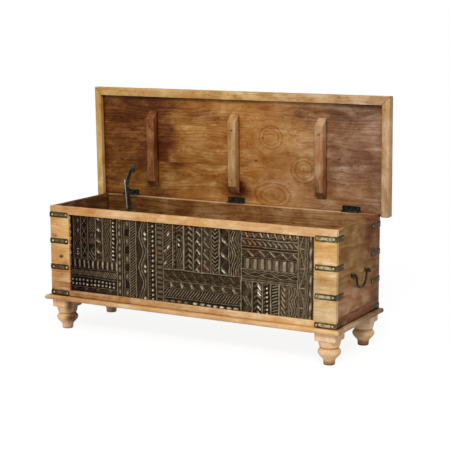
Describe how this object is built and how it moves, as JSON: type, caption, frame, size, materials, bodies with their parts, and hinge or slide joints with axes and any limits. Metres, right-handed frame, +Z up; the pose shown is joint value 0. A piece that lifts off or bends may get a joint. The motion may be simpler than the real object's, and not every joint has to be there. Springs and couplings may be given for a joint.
{
  "type": "storage chest",
  "caption": "Long wooden storage chest on turned feet with a carved front, corner straps, bail handles and a hinged lid held open by a folding stay.",
  "frame": {"origin": "on the floor, at the middle of the whole part's length and depth with the lid open", "axes": "+X to the right along the chest's length, +Y from its front to its back, +Z up"},
  "size_m": [1.274, 0.4362, 0.9172],
  "materials": {
    "honey_wood": "honey-coloured hardwood, waxed satin",
    "dark_wood": "dark figured hardwood, waxed satin",
    "walnut_wood": "medium brown figured hardwood with knots, satin",
    "pale_wood": "pale tan hardwood, satin",
    "batten_wood": "light brown hardwood, satin",
    "carved_wood": "old dark stained wood with worn grey ridges, matt",
    "aged_iron": "aged dark iron strap, dull",
    "black_iron": "blackened iron, semi-gloss",
    "screw_steel": "darkened steel screw",
    "brass": "dull aged brass"
  },
  "bodies": {
    "chest": {"back_panel": "dark_wood", "bail_staples_left": "black_iron", "bail_staples_right": "black_iron", "bottom_board": "dark_wood", "carved_board_1": "carved_wood", "carved_board_2": "carved_wood", "carved_board_3": "carved_wood", "carved_board_4": "carved_wood", "carved_board_5": "carved_wood", "corner_straps_back_left": "aged_iron", "corner_straps_back_right": "aged_iron", "corner_straps_front_left": "aged_iron", "corner_straps_front_right": "aged_iron", "foot_back_left": "honey_wood", "foot_back_right": "honey_wood", "foot_front_left": "honey_wood", "foot_front_right": "honey_wood", "front_bottom_rail": "honey_wood", "front_stile_left_lower": "honey_wood", "front_stile_left_upper": "honey_wood", "front_stile_right_lower": "honey_wood", "front_stile_right_upper": "honey_wood", "front_top_rail": "honey_wood", "hinge_1_body_leaf": "black_iron", "hinge_2_body_leaf": "black_iron", "hinge_3_body_leaf": "black_iron", "hinge_pins": "black_iron", "plinth_back": "dark_wood", "plinth_front": "honey_wood", "plinth_left": "dark_wood", "plinth_right": "dark_wood", "side_plank_left_lower": "dark_wood", "side_plank_left_upper": "dark_wood", "side_plank_right_lower": "dark_wood", "side_plank_right_upper": "dark_wood", "small_screws_body": "screw_steel", "stay_wall_bracket": "black_iron", "stay_wall_pin": "black_iron", "strap_nails": "brass"},
    "lid": {"batten_screws": "screw_steel", "hinge_1_lid_leaf": "black_iron", "hinge_2_lid_leaf": "black_iron", "hinge_3_lid_leaf": "black_iron", "lid_batten_1": "batten_wood", "lid_batten_2": "batten_wood", "lid_batten_3": "batten_wood", "lid_plank_back": "walnut_wood", "lid_plank_front": "walnut_wood", "lid_plank_middle": "walnut_wood", "lid_rim_front": "pale_wood", "lid_rim_left": "pale_wood", "lid_rim_right": "pale_wood", "small_screws_lid": "screw_steel", "stay_lid_bracket": "black_iron", "stay_lid_pin": "black_iron"},
    "bail_left": {"bail_left": "black_iron"},
    "bail_right": {"bail_right": "black_iron"},
    "stay_lower_arm": {"stay_lower_arm": "black_iron", "stay_elbow_rivet": "black_iron"},
    "stay_upper_arm": {"stay_upper_arm": "black_iron"}
  },
  "joints": [
    {"name": "lid_hinge", "type": "hinge", "parent": "chest", "child": "lid", "pos_m": [0, 0.1974, 0.4855], "axis": [1, 0, 0], "range_deg": [0, 88.7]},
    {"name": "stay_wall_pivot", "type": "hinge", "parent": "chest", "child": "stay_lower_arm", "pos_m": [-0.474, 0.1616, 0.44], "axis": [1, 0, 0], "range_deg": [0, 88.7]},
    {"name": "stay_lid_pivot", "type": "hinge", "parent": "lid", "child": "stay_upper_arm", "pos_m": [-0.474, 0.18322, 0.59001], "axis": [1, 0, 0], "range_deg": [-88.7, 0]},
    {"name": "bail_left_swing", "type": "hinge", "parent": "chest", "child": "bail_left", "pos_m": [-0.612, -0.0031, 0.304], "axis": [0, 1, 0], "range_deg": [-8, 188]},
    {"name": "bail_right_swing", "type": "hinge", "parent": "chest", "child": "bail_right", "pos_m": [0.612, -0.0031, 0.304], "axis": [0, -1, 0], "range_deg": [-8, 188]}
  ],
  "couplings": [
    {"joint": "stay_wall_pivot", "follows": "lid_hinge", "ratio": 1},
    {"joint": "stay_lid_pivot", "follows": "lid_hinge", "ratio": -1}
  ]
}
